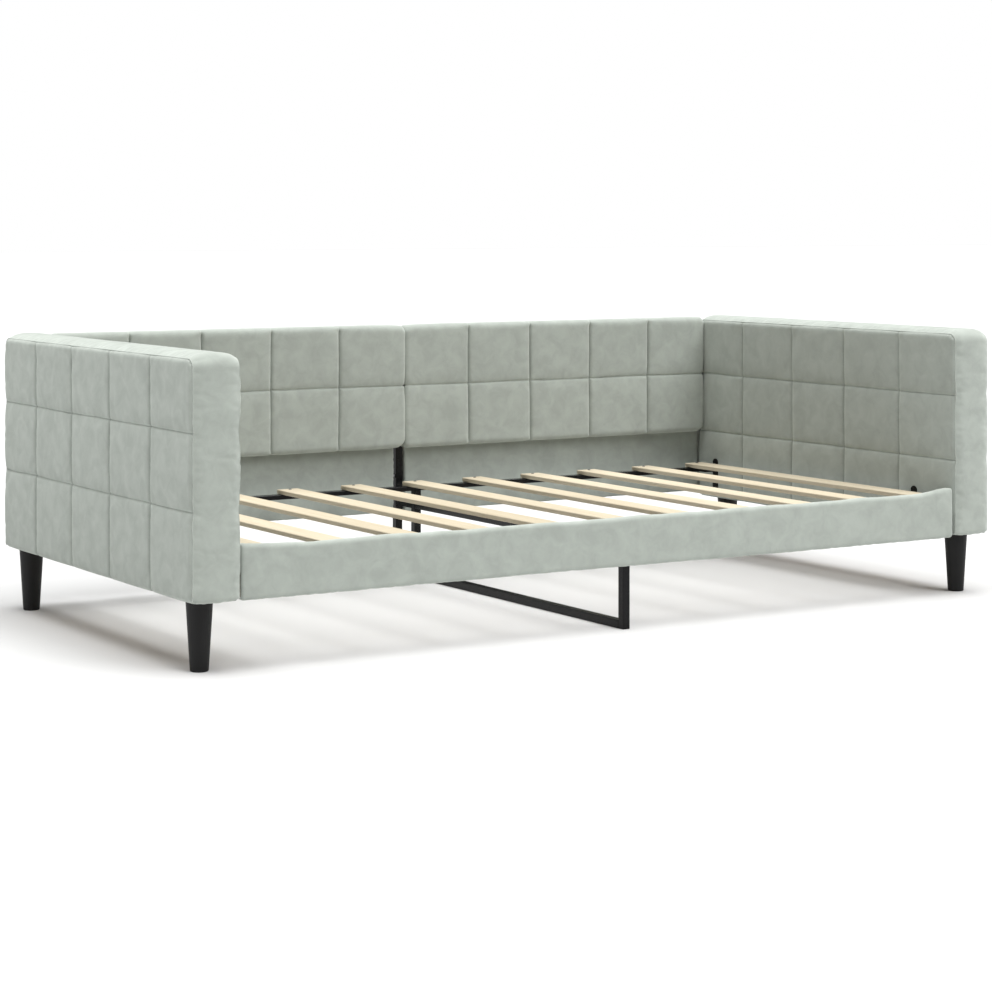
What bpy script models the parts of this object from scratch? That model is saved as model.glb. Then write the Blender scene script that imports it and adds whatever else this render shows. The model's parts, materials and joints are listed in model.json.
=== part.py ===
"""Daybed with two tufted arms, a tufted back in two halves and a slatted base.

Units are metres. +Z is up, +X runs along the bed and -Y is its open front.
The origin is on the floor, under the middle of the whole daybed.
Sub-parts named left and right are on the -X and +X side.
"""

from math import cos, pi, radians, sin

import bmesh
import bpy
from mathutils import Vector

# ---------------------------------------------------------------- driving dimensions

# Clear space and heights
INNER_LENGTH = 2.004          # between the two arms, for a 2 m mattress
ARM_DEPTH = 1.099             # front to back of each arm
ARM_WIDTH = 0.118             # side to side of each arm
ARM_HEIGHT = 0.518            # the upholstered arm alone, without its legs
LEG_HEIGHT = 0.153            # floor to the underside of the arms
FIT = 0.0003                  # gap kept between pieces that touch
CUT_OVER = 0.01               # how far a cutting block stands past what it cuts

# Arms
ARM_CORNER = 0.028            # radius of the top front and top back corners
FACE_PAD = 0.016              # thickness of the outer and inner padded faces
BAND_PAD = 0.012              # thickness of the padded band between the faces
BASE_BOARD = 0.018            # wooden board that closes the arm's underside
STUD = 0.045                  # width of the timber rails in the arm's frame
FRAME_WINDOWS = 4             # openings between the studs of the arm's frame
SOFT_EDGE = 0.005             # rounding of the padded edges

# Legs
LEG_TOP_RADIUS = 0.0295
LEG_FOOT_RADIUS = 0.0200
LEG_FOOT_ROUND = 0.003        # rounding at the foot of the leg
LEG_SIDE_INSET = 0.051        # leg's axis from the arm's outer side
LEG_FRONT_INSET = 0.0725      # leg's axis from the arm's front
LEG_BACK_INSET = 0.0595       # leg's axis from the arm's back
LEG_BOLT_RADIUS = 0.004
LEG_BOLT_DEPTH = 0.030        # how far the bolt goes down into the leg

# Front rail
RAIL_SETBACK = 0.007          # front rail's face behind the front of the arms
FRONT_RAIL_HEIGHT = 0.1045
FRONT_RAIL_THICK = 0.021      # board and cover together
RAIL_COVER = 0.0030           # padded cover around the board
RAIL_BOARD_INSET = 0.0060     # board's ends inside the cover's ends
RAIL_ANGLE_REACH = 0.045      # both flanges of the steel angle behind the rail's ends
RAIL_ANGLE_HIGH = 0.050

# Back
BACK_BOARD = 0.0245           # thickness of each back board
BACK_LIFT = 0.013             # back's lower edge above the underside of the arms
BACK_TOP_DROP = 0.014         # back's top edge below the top of the arms
BACK_END_INSET = 0.030        # back's outer end from the arm's outer side
BACK_MIDDLE_GAP = 0.033       # gap between the two back boards
LOWER_PAD = 0.0047            # thickness of the plain pad below the cushions
CUSHION_HEIGHT = 0.320
CUSHION_THICK = 0.0409
CUSHION_DROP = 0.006          # cushion's top below the top of the arms
CUSHION_CORNER = 0.024        # radius of the cushion's corners
CUSHION_SIDE_GAP = 0.0012     # gap between a cushion and the arm or the other cushion
BACK_BOLT_RADIUS = 0.004
BACK_BOLT_DEPTH = 0.045       # how far the bolt reaches into the arm
BOLT_HEAD = 0.0075            # radius of the bolt's head
BOLT_HEAD_HIGH = 0.0035
BOLT_POCKET = 0.0050          # depth of the pocket that the head sits in
BOLT_POCKET_PLAY = 0.0015     # pocket's radius over the head's
BACK_BOLT_RISE = (0.120, 0.400)   # heights of the two bolts above the arm's underside
TIE_ROD_RADIUS = 0.004
TIE_ROD_DEPTH = 0.050         # how far the rod reaches into each back board
TIE_ROD_RISE = (0.110, 0.400)     # heights of the two rods above the arm's underside

# Slatted base
SLAT_COUNT = 11
SLAT_WIDTH = 0.060
SLAT_THICK = 0.011
SLAT_RISE = 0.104             # top of the slats above the underside of the arms
SLAT_END_MARGIN = 0.037       # last slat's edge from the arm
SLAT_CLEAR = 0.0015           # slat's front end behind the front rail
SLAT_BACK_CLEAR = 0.0321      # slat's back end in front of the cushions
SLAT_EDGE = 0.0015            # rounding of the slat's edges
SLAT_RAIL_WIDE = 0.025        # steel rails that carry the slats
SLAT_RAIL_HIGH = 0.012
SLAT_OVERHANG = 0.007         # slat's back end behind the rear rail

# Middle support
TUBE = 0.020                  # side of the square steel tube
TUBE_WALL = 0.002
TUBE_EDGE = 0.0012            # rounding along the tube
SUPPORT_SHIFT = 0.003         # support's centre line from the middle of the bed
CROSS_BAR_RISE = 0.185        # underside of the cross bar above the floor
BACK_POST_DROP = 0.060        # top of the back post below the back's top edge
POST_FOOT = 0.003             # plastic foot under the back post

# Steel brackets on the arms
BRACKET_WIDE = 0.022
BRACKET_STEEL = 0.003
BRACKET_ABOVE = 0.0095        # bracket's round top above the slats
BRACKET_HIGH = 0.090
BRACKET_FRONT_AT = 0.155      # front bracket's centre behind the front of the arm
FOOT_REACH_REAR = 0.042       # foot under the rear slat rail
FOOT_REACH_FRONT = 0.076      # foot under the last slat

# ---------------------------------------------------------------- places worked out from them

LENGTH = INNER_LENGTH + 2 * ARM_WIDTH
DEPTH = ARM_DEPTH + FIT + BACK_BOARD
X_INNER = INNER_LENGTH / 2
X_OUTER = LENGTH / 2
Y_FRONT = -DEPTH / 2
Y_ARM_BACK = Y_FRONT + ARM_DEPTH
Y_BOARD = Y_ARM_BACK + FIT
Y_BACK = Y_BOARD + BACK_BOARD
Z_ARM = LEG_HEIGHT
Z_TOP = LEG_HEIGHT + ARM_HEIGHT

Y_RAIL = Y_FRONT + RAIL_SETBACK
Y_RAIL_BACK = Y_RAIL + FRONT_RAIL_THICK

Z_SLAT_TOP = Z_ARM + SLAT_RISE
Z_SLAT = Z_SLAT_TOP - SLAT_THICK
Z_RAIL_TOP = Z_SLAT - FIT
Z_RAIL_LOW = Z_RAIL_TOP - SLAT_RAIL_HIGH

Z_BACK_LOW = Z_ARM + BACK_LIFT
Z_BACK_TOP = Z_TOP - BACK_TOP_DROP
Z_CUSHION_TOP = Z_TOP - CUSHION_DROP
Z_CUSHION_LOW = Z_CUSHION_TOP - CUSHION_HEIGHT
Y_LOWER_PAD = Y_BOARD - FIT - LOWER_PAD
Y_CUSHION = Y_BOARD - FIT - CUSHION_THICK

Y_SLAT_FRONT = Y_RAIL_BACK + SLAT_CLEAR
Y_SLAT_BACK = Y_CUSHION - SLAT_BACK_CLEAR
Y_REAR_RAIL = Y_SLAT_BACK - SLAT_OVERHANG - SLAT_RAIL_WIDE
Y_FRONT_RAIL = Y_RAIL_BACK + FIT

SIDES = {"left": -1, "right": 1}
UP = Vector((0, 0, 1))

# ---------------------------------------------------------------- scene and helpers


def clear_scene():
    for item in list(bpy.data.objects):
        bpy.data.objects.remove(item, do_unlink=True)


def new_collection(name):
    made = bpy.data.collections.new(name)
    bpy.context.scene.collection.children.link(made)
    return made


def material(name, colour, roughness, metallic=0.0):
    made = bpy.data.materials.new(name)
    made.use_nodes = True
    made.diffuse_color = (*colour, 1.0)
    shader = made.node_tree.nodes["Principled BSDF"]
    shader.inputs["Base Color"].default_value = (*colour, 1.0)
    shader.inputs["Roughness"].default_value = roughness
    shader.inputs["Metallic"].default_value = metallic
    return made


def add_object(name, bm, look):
    """Turn a bmesh into an object of the daybed."""
    mesh = bpy.data.meshes.new(name)
    bm.normal_update()
    bm.to_mesh(mesh)
    bm.free()
    mesh.materials.append(look)
    made = bpy.data.objects.new(name, mesh)
    parts.objects.link(made)
    return made


def as_cutter(made):
    """Move an object to the cutters, where it only shapes other pieces."""
    parts.objects.unlink(made)
    cutters.objects.link(made)
    made.hide_render = True
    made.display_type = "WIRE"
    return made


def box_mesh(low, high):
    """A box between two corners."""
    low = Vector(low)
    high = Vector(high)
    bm = bmesh.new()
    bmesh.ops.create_cube(bm, size=1.0)
    bmesh.ops.scale(bm, vec=high - low, verts=bm.verts)
    bmesh.ops.translate(bm, vec=(low + high) / 2, verts=bm.verts)
    return bm


def round_edges(bm, wanted, radius, segments):
    """Round the edges for which wanted(middle, direction) is true."""
    chosen = []
    for edge in bm.edges:
        ends = [vert.co for vert in edge.verts]
        direction = (ends[1] - ends[0]).normalized()
        if wanted((ends[0] + ends[1]) / 2, direction):
            chosen.append(edge)
    bmesh.ops.bevel(bm, geom=chosen, offset=radius, segments=segments, profile=0.5, affect="EDGES")


def soften(made, width, segments=2):
    """Round every sharp edge of a finished piece."""
    bevel = made.modifiers.new("soft_edges", "BEVEL")
    bevel.width = width
    bevel.segments = segments
    bevel.limit_method = "ANGLE"
    bevel.angle_limit = radians(50)


def box(name, low, high, look, edge=0.0, segments=2):
    made = add_object(name, box_mesh(low, high), look)
    if edge > 0:
        soften(made, edge, segments)
    return made


def mirrored(side, near, far):
    """X range of a piece between two distances from the middle, on the given side."""
    ends = (side * near, side * far)
    return min(ends), max(ends)


def cylinder(name, start, way, radius, length, look, segments=16):
    """A cylinder from start along a unit direction."""
    way = Vector(way)
    bm = bmesh.new()
    bmesh.ops.create_cone(
        bm, cap_ends=True, segments=segments, radius1=radius, radius2=radius, depth=length
    )
    turn = UP.rotation_difference(way).to_matrix()
    bmesh.ops.rotate(bm, cent=(0, 0, 0), matrix=turn, verts=bm.verts)
    bmesh.ops.translate(bm, vec=Vector(start) + way * length / 2, verts=bm.verts)
    return add_object(name, bm, look)


def combine(made, tool, operation):
    """Cut a tool from a piece, or join it, with a Boolean that stays on the piece."""
    step = made.modifiers.new(operation.lower(), "BOOLEAN")
    step.operation = operation
    step.solver = "EXACT"
    step.object = tool


def cut(tool, *pieces):
    """Cut one shape out of every piece given."""
    as_cutter(tool)
    for piece in pieces:
        combine(piece, tool, "DIFFERENCE")


def join(made, tool):
    """Add a shape to a piece."""
    combine(made, as_cutter(tool), "UNION")


def drill(name, start, way, radius, depth, *pieces):
    """Drill a round hole through the pieces given, a little wider and deeper than its bolt."""
    start = Vector(start) - Vector(way) * FIT
    cut(cylinder(name, start, way, radius + FIT, depth + 2 * FIT, steel), *pieces)


# ---------------------------------------------------------------- arms


def top_corner(middle, direction):
    """True for the two upper edges that run along X."""
    return abs(direction.x) > 0.9 and middle.z > (Z_ARM + Z_TOP) / 2


def arm_slab(name, x_range, inset, low_z, look):
    """The arm's side outline with round top corners, moved in by inset, between two X values."""
    low = (x_range[0], Y_FRONT + inset, low_z)
    high = (x_range[1], Y_ARM_BACK - inset, Z_TOP - inset)
    bm = box_mesh(low, high)
    round_edges(bm, top_corner, ARM_CORNER - inset, 5)
    return add_object(name, bm, look)


def build_arm(word, side):
    """One arm: timber frame, two padded faces, the padded band and the base board."""
    face_near = X_INNER + FACE_PAD + FIT
    face_far = X_OUTER - FACE_PAD - FIT
    core = mirrored(side, face_near, face_far)

    outer = arm_slab(f"arm_outer_pad_{word}", mirrored(side, X_OUTER - FACE_PAD, X_OUTER), 0, Z_ARM, velvet)
    inner = arm_slab(f"arm_inner_pad_{word}", mirrored(side, X_INNER, X_INNER + FACE_PAD), 0, Z_ARM, velvet)
    for pad in (outer, inner):
        soften(pad, SOFT_EDGE)

    band = arm_slab(f"arm_band_{word}", core, 0, Z_ARM, velvet_band)
    hollow_x = (core[0] - CUT_OVER, core[1] + CUT_OVER)
    hollow = arm_slab(f"arm_hollow_{word}", hollow_x, BAND_PAD, Z_ARM - CUT_OVER, velvet)
    cut(hollow, band)

    z_frame = Z_ARM + BASE_BOARD + FIT
    frame = arm_slab(f"arm_frame_{word}", core, BAND_PAD + FIT, z_frame, timber)
    y_low = Y_FRONT + BAND_PAD + FIT + STUD
    y_high = Y_ARM_BACK - BAND_PAD - FIT - STUD
    wide = (y_high - y_low - (FRAME_WINDOWS - 1) * STUD) / FRAME_WINDOWS
    z_high = Z_TOP - BAND_PAD - FIT - STUD
    for index in range(FRAME_WINDOWS):
        y_at = y_low + index * (wide + STUD)
        low = (core[0] - CUT_OVER, y_at, z_frame + STUD)
        high = (core[1] + CUT_OVER, y_at + wide, z_high)
        cut(box(f"arm_window_{word}_{index + 1}", low, high, timber), frame)

    base_low = (core[0], Y_FRONT + BAND_PAD + FIT, Z_ARM)
    base_high = (core[1], Y_ARM_BACK - BAND_PAD - FIT, Z_ARM + BASE_BOARD)
    base = box(f"arm_base_{word}", base_low, base_high, timber)
    return frame, base, band


def build_leg(word, place, x_at, y_at, base):
    """A turned leg and the bolt that holds it to the arm's base board."""
    z_leg = LEG_HEIGHT - FIT
    slope = (LEG_TOP_RADIUS - LEG_FOOT_RADIUS) / z_leg
    outline = [(0.0, z_leg), (LEG_TOP_RADIUS, z_leg)]
    for step in range(4):
        turn = step / 3 * pi / 2
        radius = LEG_FOOT_RADIUS - LEG_FOOT_ROUND * (1 - cos(turn)) + slope * LEG_FOOT_ROUND
        outline.append((radius, LEG_FOOT_ROUND * (1 - sin(turn))))
    outline.append((0.0, 0.0))

    bm = bmesh.new()
    verts = [bm.verts.new((radius, 0, height)) for radius, height in outline]
    for first, second in zip(verts, verts[1:]):
        bm.edges.new((first, second))
    leg = add_object(f"leg_{place}_{word}", bm, leg_black)
    leg.location = (x_at, y_at, 0)
    screw = leg.modifiers.new("turned", "SCREW")
    screw.steps = 32
    screw.render_steps = 32
    screw.use_merge_vertices = True
    screw.merge_threshold = 0.0001
    screw.use_smooth_shade = True

    start = (x_at, y_at, z_leg - LEG_BOLT_DEPTH)
    long = Z_ARM + BASE_BOARD - start[2]
    cylinder(f"leg_bolt_{place}_{word}", start, UP, LEG_BOLT_RADIUS, long, steel)
    drill(f"leg_bolt_hole_{place}_{word}", start, UP, LEG_BOLT_RADIUS, long, leg, base)


def build_bracket(word, side, place, y_at, z_foot, reach):
    """Steel bracket with a round top on the arm's inner face and a foot under the slatted base."""
    z_high = Z_SLAT_TOP + BRACKET_ABOVE
    x_face = X_INNER - FIT
    half = BRACKET_WIDE / 2
    x_range = mirrored(side, x_face - BRACKET_STEEL, x_face)
    bm = box_mesh((x_range[0], y_at - half, z_high - BRACKET_HIGH), (x_range[1], y_at + half, z_high))
    round_edges(bm, lambda mid, way: abs(way.x) > 0.9 and mid.z > z_high - FIT, half * 0.98, 6)
    bracket = add_object(f"arm_bracket_{place}_{word}", bm, steel)
    foot_x = mirrored(side, x_face - BRACKET_STEEL - reach, x_face - BRACKET_STEEL / 2)
    foot_low = (foot_x[0], y_at - half, z_foot - BRACKET_STEEL)
    foot_high = (foot_x[1], y_at + half, z_foot)
    join(bracket, box(f"bracket_foot_{place}_{word}", foot_low, foot_high, steel))


# ---------------------------------------------------------------- front rail


def build_front_rail():
    """The padded board across the front, and the steel angles that fix its ends."""
    x_end = X_INNER - FIT
    z_high = Z_ARM + FRONT_RAIL_HEIGHT
    cover = box("front_rail_cover", (-x_end, Y_RAIL, Z_ARM), (x_end, Y_RAIL_BACK, z_high), velvet)
    board_end = x_end - RAIL_BOARD_INSET
    board_low = (-board_end, Y_RAIL + RAIL_COVER + FIT, Z_ARM + RAIL_COVER + FIT)
    board_high = (board_end, Y_RAIL_BACK, z_high - RAIL_COVER - FIT)
    box("front_rail_board", board_low, board_high, timber)
    room_low = (-x_end - CUT_OVER, board_low[1] - FIT, board_low[2] - FIT)
    room_high = (x_end + CUT_OVER, Y_RAIL_BACK + CUT_OVER, board_high[2] + FIT)
    cut(box("front_rail_room", room_low, room_high, timber), cover)

    z_high = Z_RAIL_LOW - FIT
    z_low = z_high - RAIL_ANGLE_HIGH
    y_low = Y_RAIL_BACK + FIT
    for word, side in SIDES.items():
        flat = mirrored(side, x_end - RAIL_ANGLE_REACH, x_end)
        high = (flat[1], y_low + BRACKET_STEEL, z_high)
        angle = box(f"rail_angle_{word}", (flat[0], y_low, z_low), high, steel)
        wing = mirrored(side, x_end - BRACKET_STEEL, x_end)
        wing_low = (wing[0], y_low + BRACKET_STEEL / 2, z_low)
        wing_high = (wing[1], y_low + RAIL_ANGLE_REACH, z_high)
        join(angle, box(f"rail_angle_wing_{word}", wing_low, wing_high, steel))


# ---------------------------------------------------------------- back


def build_back(word, side, frame, band):
    """Half of the back: board, plain lower pad, tufted cushion and the bolts into the arm."""
    near = BACK_MIDDLE_GAP / 2
    board_x = mirrored(side, near, X_OUTER - BACK_END_INSET)
    board = box(
        f"back_board_{word}",
        (board_x[0], Y_BOARD, Z_BACK_LOW),
        (board_x[1], Y_BACK, Z_BACK_TOP),
        velvet_back,
        edge=SOFT_EDGE,
    )

    pad_x = mirrored(side, near, X_INNER - FIT)
    pad_low = (pad_x[0], Y_LOWER_PAD, Z_BACK_LOW)
    pad_high = (pad_x[1], Y_BOARD - FIT, Z_CUSHION_LOW - FIT)
    box(f"back_lower_pad_{word}", pad_low, pad_high, velvet, edge=LOWER_PAD * 0.4)

    cushion_x = mirrored(side, CUSHION_SIDE_GAP / 2, X_INNER - CUSHION_SIDE_GAP)
    low = (cushion_x[0], Y_CUSHION, Z_CUSHION_LOW)
    high = (cushion_x[1], Y_BOARD - FIT, Z_CUSHION_TOP)
    bm = box_mesh(low, high)
    round_edges(bm, lambda mid, way: abs(way.y) > 0.9, CUSHION_CORNER, 5)
    soften(add_object(f"back_cushion_{word}", bm, velvet), SOFT_EDGE)

    way = Vector((0, -1, 0))
    x_bolt = side * (X_INNER + ARM_WIDTH / 2)
    y_head = Y_BACK - BOLT_POCKET + FIT
    y_shank = y_head + BOLT_HEAD_HIGH / 2
    long = y_shank - Y_ARM_BACK + BACK_BOLT_DEPTH
    for number, rise in enumerate(BACK_BOLT_RISE, start=1):
        z_at = Z_ARM + rise
        shank = (x_bolt, y_shank, z_at)
        bolt = cylinder(f"back_bolt_{number}_{word}", shank, way, BACK_BOLT_RADIUS, long, steel)
        head = (x_bolt, y_head, z_at)
        join(bolt, cylinder(f"bolt_head_{number}_{word}", head, -way, BOLT_HEAD, BOLT_HEAD_HIGH, steel, 6))
        drill(f"back_hole_{number}_{word}", shank, way, BACK_BOLT_RADIUS, long, board, band, frame)
        mouth = (x_bolt, Y_BACK, z_at)
        pocket_radius = BOLT_HEAD + BOLT_POCKET_PLAY - FIT
        drill(f"back_pocket_{number}_{word}", mouth, way, pocket_radius, BOLT_POCKET - FIT, board)
    return board


# ---------------------------------------------------------------- slatted base


def build_slats():
    """Wooden slats across the bed on two steel rails."""
    first = -X_INNER + SLAT_END_MARGIN + SLAT_WIDTH / 2
    pitch = -2 * first / (SLAT_COUNT - 1)
    for index in range(SLAT_COUNT):
        x_at = first + index * pitch
        low = (x_at - SLAT_WIDTH / 2, Y_SLAT_FRONT, Z_SLAT)
        high = (x_at + SLAT_WIDTH / 2, Y_SLAT_BACK, Z_SLAT_TOP)
        box(f"slat_{index + 1:02d}", low, high, slat_wood, edge=SLAT_EDGE, segments=1)

    x_end = X_INNER - 2 * FIT - BRACKET_STEEL
    for place, y_low in (("front", Y_FRONT_RAIL), ("rear", Y_REAR_RAIL)):
        low = (-x_end, y_low, Z_RAIL_LOW)
        high = (x_end, y_low + SLAT_RAIL_WIDE, Z_RAIL_TOP)
        box(f"slat_rail_{place}", low, high, steel, edge=TUBE_EDGE, segments=1)


# ---------------------------------------------------------------- middle support


def tube(name, low, high, axis, look):
    """A square tube that is open at both ends, with its length along the given axis."""
    made = box(name, low, high, look, edge=TUBE_EDGE, segments=1)
    bore_low = Vector(low)
    bore_high = Vector(high)
    for index in range(3):
        step = -TUBE_WALL if index == axis else TUBE_WALL
        bore_low[index] += step
        bore_high[index] -= step
    cut(box(f"{name}_bore", bore_low, bore_high, look), made)
    return made


def build_support(boards):
    """Square tube frame under the middle of the bed, and the post that joins the back boards."""
    x_low = SUPPORT_SHIFT - TUBE / 2
    x_high = SUPPORT_SHIFT + TUBE / 2
    y_front = Y_RAIL_BACK + FIT
    y_rear = Y_REAR_RAIL + SLAT_RAIL_WIDE - TUBE
    y_post = Y_BOARD

    # Two posts stand on the floor and carry the slat rails.
    z_high = Z_RAIL_LOW - FIT
    tube("support_front_post", (x_low, y_front, 0), (x_high, y_front + TUBE, z_high), 2, steel)
    tube("support_rear_post", (x_low, y_rear, 0), (x_high, y_rear + TUBE, z_high), 2, steel)

    # The floor bar and the cross bar join them, and the tie bar goes on to the back post.
    y_low = y_front + TUBE + FIT
    y_high = y_rear - FIT
    z_cross = CROSS_BAR_RISE
    tube("support_floor_bar", (x_low, y_low, 0), (x_high, y_high, TUBE), 1, steel)
    tube("support_cross_bar", (x_low, y_low, z_cross), (x_high, y_high, z_cross + TUBE), 1, steel)
    tie_low = (x_low, y_rear + TUBE + FIT, z_cross)
    tie_high = (x_high, y_post - FIT, z_cross + TUBE)
    tube("support_tie_bar", tie_low, tie_high, 1, steel)

    # The back post stands in the gap between the back boards, which two rods hold to it.
    z_top = Z_BACK_TOP - BACK_POST_DROP
    post = tube("back_post", (x_low, y_post, POST_FOOT + FIT), (x_high, y_post + TUBE, z_top), 2, steel)
    box("back_post_foot", (x_low, y_post, 0), (x_high, y_post + TUBE, POST_FOOT), plastic)
    way = Vector((1, 0, 0))
    x_rod = -BACK_MIDDLE_GAP / 2 - TIE_ROD_DEPTH
    for number, rise in enumerate(TIE_ROD_RISE, start=1):
        start = (x_rod, y_post + TUBE / 2, Z_ARM + rise)
        cylinder(f"back_tie_rod_{number}", start, way, TIE_ROD_RADIUS, -2 * x_rod, steel)
        drill(f"tie_rod_hole_{number}", start, way, TIE_ROD_RADIUS, -2 * x_rod, post, *boards)


# ---------------------------------------------------------------- build

clear_scene()
parts = new_collection("daybed")
cutters = new_collection("cutters")

velvet = material("velvet", (0.42, 0.47, 0.42), 0.85)
velvet_band = material("velvet_band", (0.45, 0.50, 0.46), 0.85)
velvet_back = material("velvet_back", (0.38, 0.43, 0.39), 0.88)
timber = material("timber", (0.50, 0.36, 0.20), 0.70)
slat_wood = material("slat_wood", (0.86, 0.76, 0.56), 0.60)
steel = material("black_steel", (0.02, 0.02, 0.022), 0.45, 0.6)
leg_black = material("leg_black", (0.02, 0.02, 0.02), 0.50)
plastic = material("black_plastic", (0.03, 0.03, 0.03), 0.60)

back_boards = []
for arm_word, arm_side in SIDES.items():
    arm_frame, arm_base, arm_band = build_arm(arm_word, arm_side)
    leg_x = arm_side * (X_OUTER - LEG_SIDE_INSET)
    build_leg(arm_word, "front", leg_x, Y_FRONT + LEG_FRONT_INSET, arm_base)
    build_leg(arm_word, "rear", leg_x, Y_ARM_BACK - LEG_BACK_INSET, arm_base)
    front_y = Y_FRONT + BRACKET_FRONT_AT
    build_bracket(arm_word, arm_side, "front", front_y, Z_SLAT - FIT, FOOT_REACH_FRONT)
    rear_y = Y_REAR_RAIL + SLAT_RAIL_WIDE / 2
    build_bracket(arm_word, arm_side, "rear", rear_y, Z_RAIL_LOW - FIT, FOOT_REACH_REAR)
    back_boards.append(build_back(arm_word, arm_side, arm_frame, arm_band))
build_front_rail()
build_slats()
build_support(back_boards)
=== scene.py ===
"""Looks of the tufted daybed: velvet covers, wood, powder-coated steel, light and camera.

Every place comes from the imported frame, in metres. The padded covers are cut as flat
patterns, puffed up by one cloth simulation that is pinned along the seams, and then laid
over their frames.
"""

import json
from math import cos, pi, radians, sin, tau

import bpy
import numpy as np
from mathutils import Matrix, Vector


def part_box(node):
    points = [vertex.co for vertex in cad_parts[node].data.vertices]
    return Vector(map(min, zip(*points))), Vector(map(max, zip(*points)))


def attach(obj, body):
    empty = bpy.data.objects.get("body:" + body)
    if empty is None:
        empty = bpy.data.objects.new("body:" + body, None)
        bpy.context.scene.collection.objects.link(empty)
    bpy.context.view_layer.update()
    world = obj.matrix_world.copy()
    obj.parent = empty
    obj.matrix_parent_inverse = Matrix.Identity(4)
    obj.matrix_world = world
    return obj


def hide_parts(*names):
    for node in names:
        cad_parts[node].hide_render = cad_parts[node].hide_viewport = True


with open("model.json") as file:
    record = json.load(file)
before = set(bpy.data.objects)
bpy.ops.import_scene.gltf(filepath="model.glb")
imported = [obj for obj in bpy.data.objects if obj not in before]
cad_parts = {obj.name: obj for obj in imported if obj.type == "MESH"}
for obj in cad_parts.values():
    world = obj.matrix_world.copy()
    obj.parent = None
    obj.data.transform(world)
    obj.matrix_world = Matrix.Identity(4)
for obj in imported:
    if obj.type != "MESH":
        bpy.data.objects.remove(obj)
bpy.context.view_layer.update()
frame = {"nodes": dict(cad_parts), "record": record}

MM = 0.001
ROOT = "root"
SIDES = {"left": -1, "right": 1}

# ---------------------------------------------------------------- places taken from the frame

def outer_x(node):
    """Nearest and furthest distance of a node from the bed's middle plane."""
    low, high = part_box(node)
    far = max(abs(low.x), abs(high.x))
    near = min(abs(low.x), abs(high.x))
    return near, far


X_INNER = outer_x("arm_inner_pad_right")[0]
X_OUTER = outer_x("arm_outer_pad_right")[1]
ARM_LOW, ARM_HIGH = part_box("arm_band_right")
RAIL_LOW, RAIL_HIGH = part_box("front_rail_cover")
CUSHION_LOW, CUSHION_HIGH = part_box("back_cushion_right")
PAD_LOW, PAD_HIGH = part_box("back_lower_pad_right")
BOARD_LOW, BOARD_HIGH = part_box("back_board_right")
SLAT_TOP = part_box("slat_06")[1].z

# ---------------------------------------------------------------- upholstery

ARM_CORNER = 28 * MM          # radius of the arm's top corners
ARM_FIRST_COLUMN = 220 * MM   # first upright seam behind the arm's front
ARM_COLUMN = 222 * MM         # pitch of the arm's upright seams
ARM_SEAMS = 4                 # how many upright seams an arm has
ARM_ROWS = (0.344, 0.510)     # heights of the level seams on the arms
CUSHION_COLUMNS = 5
CUSHION_ROW = 0.510           # height of the level seam on the cushions
CUSHION_ROLL = 10 * MM        # rounding between the cushion's face and its sides
CUSHION_SQUARE = 11 * MM      # radii of a cushion's lower left, lower right and upper corners
CUSHION_ROUND = 24 * MM
CUSHION_TOP = 13 * MM
CUSHION_RISE = 7 * MM         # how far a cushion swells above and below its plain solid
CUSHION_DROP = 1 * MM

FACE_SINK = 3.6 * MM          # seam lines lie this far below the padding's highest face
FACE_PUFF = 2.8 * MM          # highest puff of a square
BAND_SINK = 2.2 * MM          # the same for the plain band
BAND_CROWN = 7.0 * MM         # how far the band swells over the arm's top
BAND_SWELL = 0.25             # share of that swelling on its upright runs
EDGE_INSET = 5.6 * MM         # faces end this far inside the arm's outline
UPRIGHT_VALLEY = (2.0 * MM, 4.2 * MM)   # depth and half width of the valley along an upright seam
LEVEL_VALLEY = (1.3 * MM, 3.4 * MM)
FOLD = (1.7 * MM, 1.7 * MM)   # depth and half width of the sharp fold in every tuft seam
EDGE_DEEP = 4.6 * MM          # extra valley where a face is sewn to its band
EDGE_WIDE = 4.2 * MM
EDGE_FILL = 1.8 * MM          # extra padding beside a face's edges, between its level seams
EDGE_FILL_WIDE = 24 * MM
SHOULDER = (3.2 * MM, 9.0 * MM)   # how the band falls away towards its seams: depth and width
PINCH = 2.4 * MM              # how far a level seam pulls the arm's corner in
PINCH_HIGH = 15 * MM
RUN_OUT = 26 * MM             # an arm's upright seams fade over this length below its top
SEAM_SLACK = 1.5 * MM         # how far a seam rises between two crossings

# Cloth simulation
CLOTH_STEP = 9 * MM           # spacing of the simulated patterns
CLOTH_FRAMES = 20
CLOTH_PRESSURE = 4.0
CLOTH_SLACK = 0.006           # how much larger than its frame the cloth is cut
START_RISE = 0.6 * MM         # how far the cloth starts above its frame
START_UNEVEN = 0.7            # share of that which changes from place to place
START_SIZE = 0.05             # size of those changes
PATTERN_GAP = 0.5             # space between two patterns laid out side by side

# Unevenness of the finished covers
NOISE_CELLS = 64              # the seeded noise repeats after this many bumps
NOISE_START = (17.3, 11.7)
VALLEY_UNEVEN = (0.30, 0.034)   # share and size of the changes in a valley's width
RIPPLE = (0.30 * MM, 0.055)   # height and size of the slow ripples
WANDER_SIZES = (0.11, 0.13)   # size of the sideways wander of the covers, both ways
WANDER_START = 0.03           # distance from the edges over which the wander grows
SIDE_LIMIT = 1.5 * MM         # most that the simulation may shift a point sideways
SEAM_END = 0.1                # what is left of an upright seam's valley where it runs out
FILL_DIP = 1.6                # how sharply the edge's extra padding dips at each level seam


def smooth(share):
    """A share from 0 to 1 that starts and ends softly."""
    return share * share * (3 - 2 * share)


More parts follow.
